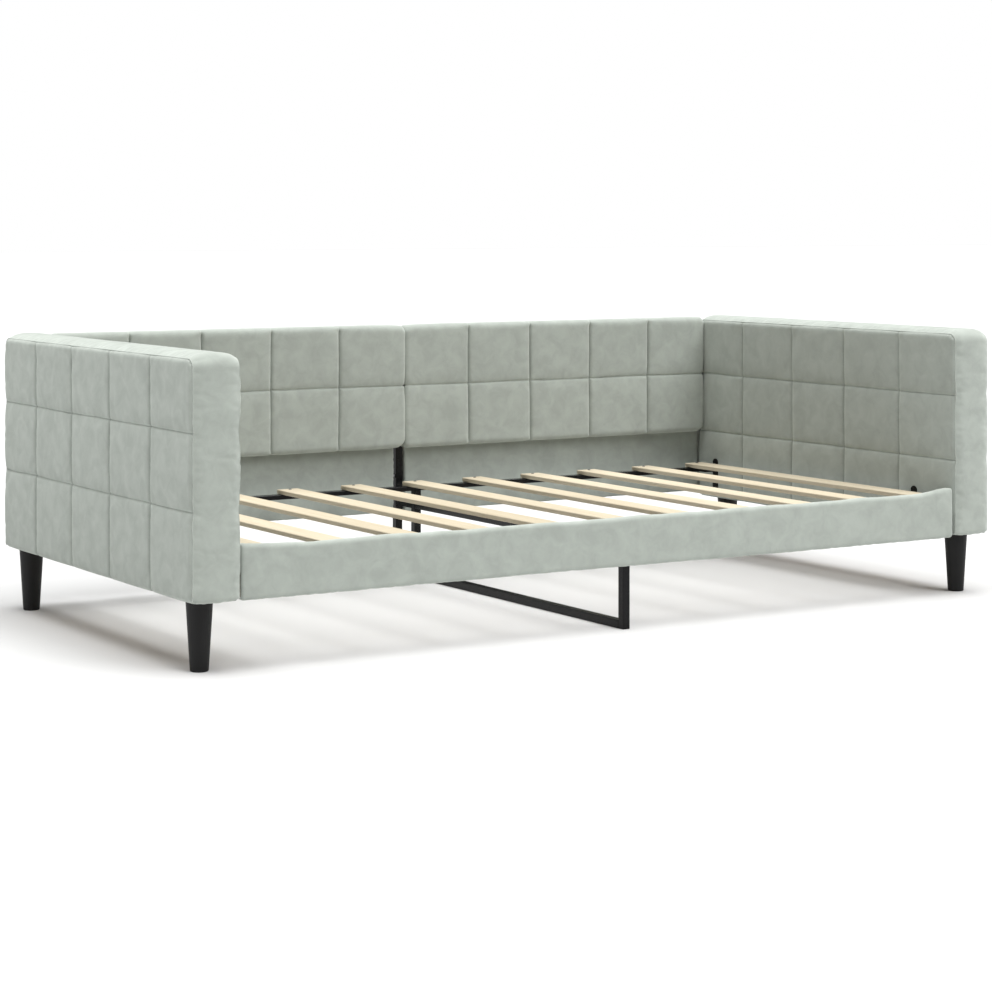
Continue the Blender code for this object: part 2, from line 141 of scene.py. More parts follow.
def soft_noise(u, v, size, seed):
    """Smooth seeded noise from -1 to 1 at the points (u, v), with bumps about size across."""
    rng = np.random.default_rng(seed)
    table = rng.uniform(-1, 1, (NOISE_CELLS, NOISE_CELLS))
    a = np.asarray(u) / size + NOISE_START[0]
    b = np.asarray(v) / size + NOISE_START[1]
    ia, ib = np.floor(a).astype(int), np.floor(b).astype(int)
    fa, fb = a - ia, b - ib
    fa, fb = smooth(fa), smooth(fb)
    i0, i1 = ia % NOISE_CELLS, (ia + 1) % NOISE_CELLS
    j0, j1 = ib % NOISE_CELLS, (ib + 1) % NOISE_CELLS
    low = table[i0, j0] * (1 - fa) + table[i1, j0] * fa
    high = table[i0, j1] * (1 - fa) + table[i1, j1] * fa
    return low * (1 - fb) + high * fb


def even(breaks, step):
    """Positions through all the breaks, at about the same step between them."""
    made = [breaks[0]]
    for a, b in zip(breaks, breaks[1:]):
        count = max(2, round((b - a) / step))
        made.extend(a + (b - a) * k / count for k in range(1, count + 1))
    return np.array(made)


def graded(breaks, fine=0.7 * MM, coarse=9 * MM, growth=1.42):
    """Positions through all the breaks, close together beside each of them."""
    made = [breaks[0]]
    for a, b in zip(breaks, breaks[1:]):
        half, steps, step = (b - a) / 2, [0.0], fine
        while steps[-1] < half:
            steps.append(steps[-1] + step)
            step = min(step * growth, coarse)
        steps = np.array(steps) * half / steps[-1]
        made.extend(a + steps[1:])
        made.extend(b - steps[-2::-1])
    return np.array(made)


def nearest(values, places):
    """Distance of each value from the nearest of the places."""
    gaps = np.abs(np.asarray(values)[..., None] - np.asarray(places))
    return gaps.min(-1)


class Pattern:
    """A flat cloth pattern: its breaks both ways, the lines it is sewn down on, and its puff."""

    def __init__(self, u_breaks, v_breaks, u_seams=(), v_seams=(), cap=0.0):
        """The cap is the highest puff of a square between the lines."""
        self.u_breaks, self.v_breaks = list(u_breaks), list(v_breaks)
        self.u_seams, self.v_seams = list(u_seams), list(v_seams)
        self.cap = cap
        self.u, self.v = even(self.u_breaks, CLOTH_STEP), even(self.v_breaks, CLOTH_STEP)
        self.u_lines = [self.u[0], *self.u_seams, self.u[-1]]
        self.v_lines = [self.v[0], *self.v_seams, self.v[-1]]
        self.puff = None

    def pinned(self, u, v):
        """True where the cloth is sewn down: along its seams and its edges."""
        near = 1e-6
        return (nearest(u, self.u_lines) < near) | (nearest(v, self.v_lines) < near)


def simulate(patterns):
    """Puffs up all the patterns in one cloth simulation and keeps how far each point moved."""
    points, faces, held, starts = [], [], [], []
    shift = 0.0
    for pattern in patterns:
        uu, vv = np.meshgrid(pattern.u, pattern.v, indexing="ij")
        rise = START_RISE * (1 + START_UNEVEN * soft_noise(uu, vv, START_SIZE, 5))
        pins = pattern.pinned(uu, vv)
        start = sum(len(p) for p in points)
        starts.append(start)
        flat = np.stack([uu, vv + shift, np.where(pins, 0, rise)], -1)
        points.append(flat.reshape(-1, 3))
        held.extend((start + np.flatnonzero(pins.ravel())).tolist())
        nu, nv = uu.shape
        faces.extend(grid_faces(nu, nv, start))
        shift += pattern.v[-1] - pattern.v[0] + PATTERN_GAP
    points = np.concatenate(points)
    mesh = bpy.data.meshes.new("patterns")
    mesh.from_pydata(points.tolist(), [], faces)
    cloth = bpy.data.objects.new("patterns", mesh)
    scene = bpy.context.scene
    scene.collection.objects.link(cloth)
    cloth.vertex_groups.new(name="sewn").add(held, 1.0, "REPLACE")

    modifier = cloth.modifiers.new("cloth", "CLOTH")
    settings = modifier.settings
    settings.vertex_group_mass = "sewn"
    settings.quality = 6
    settings.mass = 0.15
    settings.tension_stiffness = settings.compression_stiffness = 25
    settings.shear_stiffness = 8
    settings.bending_stiffness = 0.05
    settings.tension_damping = settings.compression_damping = 8
    settings.air_damping = 2
    settings.use_pressure = True
    settings.uniform_pressure_force = CLOTH_PRESSURE
    settings.shrink_min = -CLOTH_SLACK
    settings.effector_weights.gravity = 0
    modifier.collision_settings.use_collision = False
    modifier.point_cache.frame_start = 1
    modifier.point_cache.frame_end = CLOTH_FRAMES
    for number in range(1, CLOTH_FRAMES + 1):
        scene.frame_set(number)
    bpy.context.view_layer.objects.active = cloth
    cloth.select_set(True)
    bpy.ops.object.modifier_apply(modifier="cloth")
    moved = np.zeros(len(points) * 3)
    cloth.data.vertices.foreach_get("co", moved)
    moved = moved.reshape(-1, 3) - points
    scene.frame_set(1)
    bpy.data.objects.remove(cloth)
    bpy.data.meshes.remove(mesh)
    for pattern, start in zip(patterns, starts):
        nu, nv = len(pattern.u), len(pattern.v)
        pattern.puff = moved[start:start + nu * nv].reshape(nu, nv, 3)


def resample(pattern, u, v):
    """The puff at the finer positions u and v: two in-plane shifts and the capped height."""
    puff = pattern.puff
    iu = np.interp(u, pattern.u, np.arange(len(pattern.u)))
    iv = np.interp(v, pattern.v, np.arange(len(pattern.v)))
    made = []
    for axis in range(3):
        rows = cubic(puff[:, :, axis], iu)
        made.append(cubic(rows.T, iv).T)
    side_u, side_v, height = made
    side_u = np.clip(side_u, -SIDE_LIMIT, SIDE_LIMIT)
    side_v = np.clip(side_v, -SIDE_LIMIT, SIDE_LIMIT)
    return side_u, side_v, pattern.cap * np.tanh(height / pattern.cap)


def cubic(grid, places):
    """Catmull-Rom interpolation of a grid's rows at fractional row numbers."""
    count = len(grid)
    base = np.clip(np.floor(places).astype(int), 0, count - 2)
    t = (places - base)[:, None]
    p0, p1 = grid[np.maximum(base - 1, 0)], grid[base]
    p2, p3 = grid[base + 1], grid[np.minimum(base + 2, count - 1)]
    curve = (2 * p0 - 5 * p1 + 4 * p2 - p3) * t * t + (3 * p1 - p0 - 3 * p2 + p3) * t ** 3
    return p1 + 0.5 * ((p2 - p0) * t + curve)


def valley(distance, deep, wide):
    """Depth of the sewn valley at this distance from a seam."""
    return deep * np.exp(-(distance / wide) ** 1.5)


def between(values, breaks):
    """0 on each break, rising to 1 halfway between two of them."""
    breaks = np.array(breaks)
    index = np.clip(np.searchsorted(breaks, values, side="right") - 1, 0, len(breaks) - 2)
    share = (values - breaks[index]) / (breaks[index + 1] - breaks[index])
    return np.sin(pi * np.clip(share, 0, 1)) ** 0.8


def cover(pattern, seed, wander=0.0, sewn="", edge=(EDGE_DEEP, EDGE_WIDE), boost=1.0, fill=0.0,
          run_out=0.0, coarse=9 * MM):
    """Fine grid of a pattern: shifted positions (u, v) and the height above its seam lines.

    The edges named in sewn get a valley of their own, edge deep and wide. Boost deepens the
    upright seams, run_out is the length over which they fade towards the top, and fill is the
    extra padding beside the edges.
    """
    u, v = graded(pattern.u_breaks, coarse=coarse), graded(pattern.v_breaks, coarse=coarse)
    side_u, side_v, height = resample(pattern, u, v)
    uu, vv = np.meshgrid(u, v, indexing="ij")
    if pattern.u_seams:
        between_levels = between(vv, pattern.v_lines)
        loose = 1 - (1 - between(uu, pattern.u_lines)) * (1 - between_levels)
        height = height + SEAM_SLACK * loose
        uneven = 1 + VALLEY_UNEVEN[0] * soft_noise(uu, vv, VALLEY_UNEVEN[1], seed + 3)
        from_u, from_v = nearest(uu, pattern.u_seams), nearest(vv, pattern.v_seams)
        fade = np.clip((v[-1] - vv) / run_out, SEAM_END, 1) if run_out else 1.0
        strength = fade * boost
        height = height - strength * valley(from_u, UPRIGHT_VALLEY[0], UPRIGHT_VALLEY[1] * uneven)
        height = height - valley(from_v, LEVEL_VALLEY[0], LEVEL_VALLEY[1] * uneven)
        height = height - np.maximum(strength * valley(from_u, *FOLD), valley(from_v, *FOLD))
        rim = np.exp(-(np.minimum(uu - u[0], u[-1] - uu) / EDGE_FILL_WIDE) ** 2)
        rim = rim * (FILL_DIP * between_levels - (FILL_DIP - 1))
        top = np.exp(-((v[-1] - vv) / EDGE_FILL_WIDE) ** 2)
        height = height + fill * np.where(top > np.abs(rim), top, rim)
    ends = {"u": uu - u[0], "U": u[-1] - uu, "v": vv - v[0], "V": v[-1] - vv}
    for name in sewn:
        height = height - valley(ends[name], *edge)
    height = height + RIPPLE[0] * soft_noise(uu, vv, RIPPLE[1], seed)
    drift = np.minimum(np.minimum(uu - u[0], u[-1] - uu), np.minimum(vv - v[0], v[-1] - vv))
    drift = wander * np.clip(drift / WANDER_START, 0, 1)
    side_u = side_u + drift * soft_noise(uu, vv, WANDER_SIZES[0], seed + 1)
    side_v = side_v + drift * soft_noise(uu, vv, WANDER_SIZES[1], seed + 2)
    return uu + side_u, vv + side_v, height


def grid_faces(nu, nv, start=0):
    """Quads of a grid of nu by nv points, the first of which has the number start."""
    corner = (np.arange(nu - 1)[:, None] * nv + np.arange(nv - 1)).ravel() + start
    return np.stack([corner, corner + nv, corner + nv + 1, corner + 1], -1).tolist()


def border(nu, nv):
    """Point numbers round the edge of a grid, in order."""
    first = list(range(nv))
    last = [(nu - 1) * nv + j for j in range(nv)]
    side = [i * nv + nv - 1 for i in range(1, nu - 1)]
    back = [i * nv for i in range(1, nu - 1)]
    return first + side + last[::-1] + back[::-1]


def shaped(name, points, faces, look, flip=False):
    """A smooth-shaded mesh object from points and faces, with its normals outwards."""
    mesh = bpy.data.meshes.new(name)
    mesh.from_pydata([tuple(p) for p in points], [], faces)
    mesh.validate()
    if flip:
        mesh.flip_normals()
    mesh.polygons.foreach_set("use_smooth", [True] * len(mesh.polygons))
    mesh.materials.append(look)
    mesh.update()
    made = bpy.data.objects.new(name, mesh)
    bpy.context.scene.collection.objects.link(made)
    return made


def sheet_mesh(name, grid, look, flip, tuck=(0, 0, 0)):
    """A piece from a grid of points (nu, nv, 3), closed behind; tuck is how its edge turns in."""
    nu, nv, _ = grid.shape
    points = grid.reshape(-1, 3)
    faces = grid_faces(nu, nv)
    edge = border(nu, nv)
    inner = points[edge] + np.asarray(tuck)
    first = len(points)
    points = np.concatenate([points, inner])
    count = len(edge)
    for k in range(count):
        after = (k + 1) % count
        faces.append([edge[k], first + k, first + after, edge[after]])
    faces.append([first + k for k in range(count)][::-1])
    return shaped(name, points, faces, look, flip)


def upholster(piece, slot, fill, *nodes):
    """Attaches a padded piece to the bed and hides the frame parts it stands in for."""
    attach(piece, ROOT)
    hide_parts(*nodes)
    return piece


# ---------------------------------------------------------------- materials

class Nodes:
    """Short hands for a material's node tree."""

    def __init__(self, name):
        self.material = bpy.data.materials.new(name)
        self.material.use_nodes = True
        self.tree = self.material.node_tree
        self.shader = self.tree.nodes["Principled BSDF"]
        self.place = self.tree.nodes.new("ShaderNodeTexCoord").outputs["Object"]

    def set(self, name, value):
        """Gives one of the shader's inputs a value."""
        self.shader.inputs[name].default_value = value

    def link(self, source, target):
        self.tree.links.new(source, target)

    def drive(self, name, source):
        """Links a node's output to one of the shader's inputs."""
        self.link(source, self.shader.inputs[name])

    def stretch(self, scale):
        """Object coordinates, scaled along each axis."""
        node = self.tree.nodes.new("ShaderNodeMapping")
        node.inputs["Scale"].default_value = scale
        self.link(self.place, node.inputs["Vector"])
        return node.outputs["Vector"]

    def noise(self, scale, detail=2.0, roughness=0.5, vector=None, distortion=0.0):
        node = self.tree.nodes.new("ShaderNodeTexNoise")
        node.inputs["Scale"].default_value = scale
        node.inputs["Detail"].default_value = detail
        node.inputs["Roughness"].default_value = roughness
        node.inputs["Distortion"].default_value = distortion
        self.link(self.place if vector is None else vector, node.inputs["Vector"])
        return node.outputs["Fac"]

    def ramp(self, factor, *stops):
        """Colours at the stops (place, colour) along a factor."""
        node = self.tree.nodes.new("ShaderNodeValToRGB")
        while len(node.color_ramp.elements) < len(stops):
            node.color_ramp.elements.new(0.5)
        for element, (at, colour) in zip(node.color_ramp.elements, stops):
            element.position = at
            element.color = (*colour, 1.0)
        self.link(factor, node.inputs["Fac"])
        return node.outputs["Color"]

    def multiply(self, a, b):
        """Two colours multiplied."""
        node = self.tree.nodes.new("ShaderNodeMix")
        node.data_type = "RGBA"
        node.blend_type = "MULTIPLY"
        node.inputs["Factor"].default_value = 1.0
        self.link(a, node.inputs["A"])
        self.link(b, node.inputs["B"])
        return node.outputs["Result"]

    def add(self, a, b, share):
        """The height a with a share of the height b added."""
        node = self.tree.nodes.new("ShaderNodeMath")
        node.operation = "MULTIPLY_ADD"
        node.inputs[1].default_value = share
        self.link(b, node.inputs[0])
        self.link(a, node.inputs[2])
        return node.outputs["Value"]

    def bump(self, height, distance, strength):
        node = self.tree.nodes.new("ShaderNodeBump")
        node.inputs["Distance"].default_value = distance
        node.inputs["Strength"].default_value = strength
        self.link(height, node.inputs["Height"])
        self.link(node.outputs["Normal"], self.shader.inputs["Normal"])


def shade(colour, factor):
    """A colour made lighter or darker by a factor."""
    return tuple(min(1.0, c * factor) for c in colour)


def grey(value):
    return (value, value, value)


PATCH_SCALE = 24              # patches of pile that lie different ways
STREAK_SCALE = 6.5            # broad upright changes of tone
STREAK_STRETCH = (1.0, 1.0, 0.35)
PILE_SCALE = 1500             # single tufts of pile, as tone
LAY_SCALE = 1100              # the same as relief
LAY_PATCH_SCALE = 38
LAY_PATCH_SHARE = 12.0
PILE_HEIGHT = 0.035 * MM
SHEEN_WIDTH = 0.9
SHEEN_TINT = (0.94, 1.0, 0.94, 1.0)


def velvet_look(name, colour):
    """Short-pile velvet: patches of pile that lie different ways, fine pile and a pale sheen."""
    made = Nodes(name)
    patches = made.noise(PATCH_SCALE, 3, 0.6, distortion=0.5)
    tone = made.ramp(patches, (0.34, shade(colour, 0.94)), (0.50, colour), (0.68, shade(colour, 1.06)))
    streaks = made.noise(STREAK_SCALE, 2, 0.5, vector=made.stretch(STREAK_STRETCH), distortion=0.3)
    wide = made.ramp(streaks, (0.35, grey(0.98)), (0.65, grey(1.02)))
    tone = made.multiply(tone, wide)
    pile = made.noise(PILE_SCALE, 2, 0.6)
    grain = made.ramp(pile, (0.3, grey(0.93)), (0.7, grey(1.05)))
    made.drive("Base Color", made.multiply(tone, grain))
    fine, coarse = made.noise(LAY_SCALE, 2, 0.6), made.noise(LAY_PATCH_SCALE, 2, 0.5)
    made.bump(made.add(fine, coarse, LAY_PATCH_SHARE), PILE_HEIGHT, 0.6)
    made.set("Roughness", 0.95)
    made.set("Specular IOR Level", 0.05)
    made.drive("Sheen Weight", made.ramp(patches, (0.34, grey(0.54)), (0.68, grey(0.66))))
    made.set("Sheen Roughness", SHEEN_WIDTH)
    made.set("Sheen Tint", SHEEN_TINT)
    return made.material


BOARD_SCALE = 3.1             # slow changes of tone from board to board
BOARD_STRETCH = (1.0, 0.12, 0.3)
PORE_STRETCH = (900, 40, 900)
GRAIN_HEIGHT = 0.25 * MM


def wood_look(name, pale, dark, across, along):
    """Planed wood: long grain along Y, pores and slow changes from board to board."""
    made = Nodes(name)
    grain = made.noise(1.0, 4, 0.6, vector=made.stretch((across, along, across)), distortion=0.35)
    tone = made.ramp(grain, (0.32, dark), (0.52, pale), (0.70, shade(pale, 1.05)))
    boards = made.noise(BOARD_SCALE, 1, 0.5, vector=made.stretch(BOARD_STRETCH))
    wide = made.ramp(boards, (0.35, (0.93, 0.91, 0.88)), (0.65, (1.04, 1.03, 1.02)))
    tone = made.multiply(tone, wide)
    pores = made.noise(1.0, 2, 0.5, vector=made.stretch(PORE_STRETCH))
    fine = made.ramp(pores, (0.25, (0.86, 0.83, 0.78)), (0.42, grey(1.0)))
    made.drive("Base Color", made.multiply(tone, fine))
    made.bump(made.add(grain, pores, 0.6), GRAIN_HEIGHT, 0.5)
    made.set("Roughness", 0.62)
    made.set("Specular IOR Level", 0.3)
    return made.material


CLOUD_SCALE = 14              # slow changes of tone in paint and plating
PEEL_HEIGHT = 0.05 * MM


def steel_look(name, colour, rough, peel_scale, metallic=0.0, gloss=0.5):
    """Painted or plated steel, or plastic: a fine orange peel and slightly uneven gloss."""
    made = Nodes(name)
    peel = made.noise(peel_scale, 2, 0.5)
    cloud = made.noise(CLOUD_SCALE, 2, 0.5)
    made.drive("Base Color", made.ramp(cloud, (0.3, shade(colour, 0.85)), (0.7, shade(colour, 1.15))))
    made.drive("Roughness", made.ramp(peel, (0.3, grey(rough - 0.05)), (0.7, grey(rough + 0.06))))
    made.bump(peel, PEEL_HEIGHT, 0.5)
    made.set("Metallic", metallic)
    made.set("Specular IOR Level", gloss)
    return made.material


SAGE = (0.196, 0.216, 0.190)
velvet = velvet_look("velvet_sage", SAGE)
velvet_rear = velvet_look("velvet_rear", shade(SAGE, 0.93))
slat_wood = wood_look("slat_wood", (0.52, 0.465, 0.355), (0.475, 0.41, 0.295), 160, 4.5)
timber = wood_look("frame_timber", (0.52, 0.37, 0.21), (0.36, 0.23, 0.11), 120, 7)
black_steel = steel_look("powder_black", (0.0025, 0.0025, 0.0027), 0.27, 900, gloss=0.2)
bolt_steel = steel_look("zinc_plate", (0.42, 0.42, 0.43), 0.34, 600, metallic=1.0)
leg_black = steel_look("leg_black", (0.006, 0.006, 0.006), 0.5, 420, gloss=0.25)
black_plastic = steel_look("plastic_black", (0.02, 0.02, 0.02), 0.5, 300)
screw_dark = steel_look("screw_dark", (0.10, 0.095, 0.09), 0.40, 700, metallic=1.0)

LOOK_OF = {
    "velvet": velvet,
    "velvet_back": velvet_rear,
    "timber": timber,
    "slat_wood": slat_wood,
    "black_steel": black_steel,
    "bolt_steel": bolt_steel,
    "leg_black": leg_black,
    "black_plastic": black_plastic,
}
for part in frame["record"]["subparts"]:
    node = frame["nodes"][part["node"]]
    node.data.materials.clear()
    node.data.materials.append(LOOK_OF[part["material_slot"]])

# ---------------------------------------------------------------- arms

FACE_FOOT = 0.4 * MM          # faces end this far above the arm's underside
FACE_TUCK = 7 * MM            # how deep a face's edge goes down into the arm
FACE_WANDER = 1.2 * MM
FACE_U = (ARM_LOW.y + EDGE_INSET, ARM_HIGH.y - EDGE_INSET)
FACE_V = (ARM_LOW.z + FACE_FOOT, ARM_HIGH.z - EDGE_INSET)
FACE_SEAMS = [ARM_LOW.y + ARM_FIRST_COLUMN + k * ARM_COLUMN for k in range(ARM_SEAMS)]


def face_pattern():
    u_breaks = [FACE_U[0], *FACE_SEAMS, FACE_U[1]]
    v_breaks = [FACE_V[0], *ARM_ROWS, FACE_V[1]]
    return Pattern(u_breaks, v_breaks, FACE_SEAMS, ARM_ROWS, cap=FACE_PUFF)


def round_top(u, v):
    """Moves the points near an arm's top corners so that the outline follows its rounding."""
    radius = ARM_CORNER - EDGE_INSET
    mid_u, half_u = (FACE_U[0] + FACE_U[1]) / 2, (FACE_U[1] - FACE_U[0]) / 2
    a = np.abs(u - mid_u) - (half_u - radius)
    b = v - (FACE_V[1] - radius)
    inside = (a > 0) & (b > 0)
    a, b = np.where(inside, a, 0), np.where(inside, b, 0)
    size = np.maximum(a, b) / np.maximum(np.hypot(a, b), 1e-9)
    size = np.where(inside, size, 1)
    return u - np.sign(u - mid_u) * a * (1 - size), v - b * (1 - size)


def build_face(pattern, side, outward, plane, seed, node):
    """One tufted face of an arm, facing outward or inward along X."""
    u, v, height = cover(pattern, seed, wander=FACE_WANDER, sewn="uUvV", fill=EDGE_FILL, run_out=RUN_OUT)
    u, v = round_top(u, v)
    out = side * outward
    x = side * plane + out * (height - FACE_SINK)
    grid = np.stack([x, u, v], -1)
    name = node.replace("_pad_", "_cover_")
    piece = sheet_mesh(name, grid, velvet, flip=out < 0, tuck=(-out * FACE_TUCK, 0, 0))
    return upholster(piece, "velvet", 0.7, node)


class Path:
    """A rounded line in a plane, with its place and outward direction at each distance."""

    def __init__(self, corners, radii, step=0.4 * MM):
        corners = [np.array(c, float) for c in corners]
        points = [corners[0]]
        for before, here, after, radius in zip(corners, corners[1:], corners[2:], radii):
            way_in = (here - before) / np.linalg.norm(here - before)
            way_out = (after - here) / np.linalg.norm(after - here)
            turn = np.arccos(np.clip(way_in @ way_out, -1, 1))
            reach = radius * np.tan(turn / 2)
            start = here - way_in * reach
            normal = way_out - way_in * (way_in @ way_out)
            normal /= np.linalg.norm(normal)
            centre = start + normal * radius
            for share in np.linspace(0, 1, max(3, int(radius * turn / step))):
                angle = turn * share
                points.append(centre - normal * radius * np.cos(angle) + way_in * radius * np.sin(angle))
        points.append(corners[-1])
        raw = np.array(points)
        gaps = np.linalg.norm(np.diff(raw, axis=0), axis=1)
        raw = raw[np.concatenate([[True], gaps > 1e-9])]
        along = np.concatenate([[0], np.cumsum(np.linalg.norm(np.diff(raw, axis=0), axis=1))])
        self.length = along[-1]
        self.t = np.linspace(0, self.length, int(self.length / step) + 2)
        self.points = np.stack([np.interp(self.t, along, raw[:, k]) for k in (0, 1)], -1)
        way = np.gradient(self.points, self.t, axis=0)
        way /= np.linalg.norm(way, axis=1)[:, None]
        self.normals = np.stack([-way[:, 1], way[:, 0]], -1)

    def at(self, t):
        """Places and outward directions at the distances t."""
        inside = np.clip(t, 0, self.length)
        place = [np.interp(inside, self.t, self.points[:, k]) for k in (0, 1)]
        normal = [np.interp(inside, self.t, self.normals[:, k]) for k in (0, 1)]
        return place, normal

    def distance_of(self, place):
        """Distance along the path of its point nearest to a place."""
        return float(self.t[np.argmin(np.linalg.norm(self.points - np.array(place), axis=1))])


BAND_INSET = 1.2 * MM         # the band ends this far inside the faces' seam lines
BAND_X = (X_INNER + FACE_SINK + BAND_INSET, X_OUTER - FACE_SINK - BAND_INSET)
BAND_PUFF = 2.4 * MM
BAND_TUCK = 6 * MM            # how deep the band's edges go down into the arm
BAND_COARSE = 3.5 * MM        # widest spacing of the band's points
BAND_FOOT = 0.3 * MM          # the band's hem lies this far above the arm's underside
PINCH_REACH = 1.3             # how far a pinched corner reaches, in widths of the shoulder
HEM = 11 * MM                 # how far the band turns under the arm
HEM_ROLL = 9 * MM


def band_path():
    """The band's line: under the front, up, over the top, down the back and under again."""
    front, back = ARM_LOW.y + BAND_SINK, ARM_HIGH.y - BAND_SINK
    low, top = ARM_LOW.z + BAND_FOOT, ARM_HIGH.z - BAND_SINK
    up_front = [(front + HEM, low), (front, low), (front, top)]
    down_back = [(back, top), (back, low), (back - HEM, low)]
    corner = ARM_CORNER - BAND_SINK
    return Path(up_front + down_back, [HEM_ROLL, corner, corner, HEM_ROLL])


BAND = band_path()


def band_pattern():
    front_top = BAND.distance_of((ARM_LOW.y, ARM_HIGH.z))
    back_top = BAND.distance_of((ARM_HIGH.y, ARM_HIGH.z))
    breaks = [0, HEM, front_top, back_top, BAND.length - HEM, BAND.length]
    return Pattern(BAND_X, breaks, cap=BAND_PUFF)


def build_band(pattern, word, side, seed):
    """The plain band round an arm, between its two tufted faces."""
    x, t, height = cover(pattern, seed, sewn="uU", edge=SHOULDER, coarse=BAND_COARSE)
    (y, z), (ny, nz) = BAND.at(t)
    pull = np.exp(-(nearest(z, ARM_ROWS) / PINCH_HIGH) ** 2)
    near, far = x - BAND_X[0], BAND_X[1] - x
    swell = 4 * near * far / (BAND_X[1] - BAND_X[0]) ** 2
    height = height + BAND_CROWN * swell * (BAND_SWELL + (1 - BAND_SWELL) * np.clip(nz, 0, 1))
    reach = PINCH_REACH * SHOULDER[1]
    x = x + PINCH * pull * (np.exp(-(near / reach) ** 2) - np.exp(-(far / reach) ** 2))
    grid = np.stack([side * x, y + ny * height, z + nz * height], -1)
    nu, nv, _ = grid.shape
    points = grid.reshape(-1, 3)
    faces = grid_faces(nu, nv)
    for edge in (0, nu - 1):
        row = [edge * nv + j for j in range(nv)]
        deep = points[row].copy()
        deep[:, 1] -= ny[edge] * BAND_TUCK
        deep[:, 2] -= nz[edge] * BAND_TUCK
        first = len(points)
        points = np.concatenate([points, deep])
        strip = [[row[j], row[j + 1], first + j + 1, first + j] for j in range(nv - 1)]
        faces.extend([q[::-1] for q in strip] if edge == 0 else strip)
    piece = shaped(f"arm_band_cover_{word}", points, faces, velvet, flip=side < 0)
    return upholster(piece, "velvet", 0.6, f"arm_band_{word}")


# ---------------------------------------------------------------- pillows

class Pillow:
    """A flat pattern that wraps over a board's face, its rounded edges and its sides."""

    def __init__(self, low, high, roll, deep, corners):
        """Corners gives the radii at the lower left, lower right, upper left and upper right."""
        self.low, self.high = np.array(low), np.array(high)
        self.roll, self.corners = roll, corners
        self.extra = roll * pi / 2 - roll + deep - roll

    def breaks(self, axis, seams):
        low, high = self.low[axis] - self.extra, self.high[axis] + self.extra
        return [low, self.low[axis], *seams, self.high[axis], high]

    def lay(self, u, v, height):
        """In-plane place, depth behind the face, and both moved outwards by the height."""
        centre, half = (self.low + self.high) / 2, (self.high - self.low) / 2
        low_left, low_right, high_left, high_right = self.corners
        left = u < centre[0]
        lower, upper = np.where(left, low_left, low_right), np.where(left, high_left, high_right)
        corner = np.where(v < centre[1], lower, upper)
        flat_u, flat_v = half[0] - corner, half[1] - corner
        from_u, from_v = np.abs(u - centre[0]), np.abs(v - centre[1])
        pa, pb = np.maximum(from_u - flat_u, 0), np.maximum(from_v - flat_v, 0)
        size = np.hypot(pa, pb)
        reach = np.maximum(pa, pb)
        da = np.where(size > 1e-9, pa / np.maximum(size, 1e-9), 0)
        db = np.where(size > 1e-9, pb / np.maximum(size, 1e-9), 0)
        over = reach - (corner - self.roll)
        angle = np.clip(over / self.roll, 0, pi / 2)
        side = np.maximum(over - self.roll * pi / 2, 0)
        out = np.where(over > 0, corner - self.roll + self.roll * np.sin(angle), reach)
        deep = np.where(over > 0, self.roll * (1 - np.cos(angle)) + side, 0)
        out = out + height * np.sin(angle)
        deep = deep - height * np.cos(angle)
        round_u = centre[0] + np.sign(u - centre[0]) * (np.minimum(from_u, flat_u) + da * out)
        round_v = centre[1] + np.sign(v - centre[1]) * (np.minimum(from_v, flat_v) + db * out)
        rounded = pa + pb > 0
        return np.where(rounded, round_u, u), np.where(rounded, round_v, v), deep


def mirrored(near, far, side):
    """Lowest and highest X of what spans near to far from the middle, on one side of it."""
    return (near, far) if side > 0 else (-far, -near)


def plain_pillow(low, high, side, inset, roll, sink, corner):
    """A pillow for the plain solid between low and high, the same at all four corners."""
    low_x, high_x = mirrored(low.x + inset, high.x - inset, side)
    deep = high.y - low.y - sink
    return Pillow((low_x, low.z + inset), (high_x, high.z - inset), roll, deep, [corner] * 4)


def plain_pattern(pillow, cap):
    return Pattern(pillow.breaks(0, []), pillow.breaks(1, []), cap=cap)


CUSHION_SINK = 4.0 * MM
CUSHION_INSET = 2.2 * MM      # the cover ends this far inside the cushion's outer side
CUSHION_MEET = 0.66 * MM      # the same where the two halves meet
CUSHION_PUFF = 3.0 * MM
CUSHION_WANDER = 1.5 * MM
CUSHION_SEAM_BOOST = 1.9
CUSHION_TOP_PLAIN = (16 * MM, 14 * MM, 0.85)    # where the seams fade near the top: start, length, share
CUSHION_FOOT_PLAIN = (10 * MM, 12 * MM, 0.7)    # the same near the foot
CUSHION_PLAIN_RISE = 1.6 * MM
CUSHION_JOINT = 28 * MM       # how far the shaping beside the joint of the halves reaches
CUSHION_DIP = 4.0 * MM        # how far the top dips at that joint
CUSHION_TUCK_UP = 3.0 * MM    # how far the left half's foot rises there
CUSHION_BACK_GAP = 0.2 * MM


def cushion_pillow(side):
    near, far = abs(CUSHION_LOW.x) + CUSHION_MEET, CUSHION_HIGH.x - CUSHION_INSET
    low_x, high_x = mirrored(near, far, side)
    low, high = (low_x, CUSHION_LOW.z - CUSHION_DROP), (high_x, CUSHION_HIGH.z + CUSHION_RISE)
    deep = CUSHION_HIGH.y - CUSHION_LOW.y - CUSHION_SINK
    return Pillow(low, high, CUSHION_ROLL, deep, (CUSHION_SQUARE, CUSHION_ROUND, CUSHION_TOP, CUSHION_TOP))


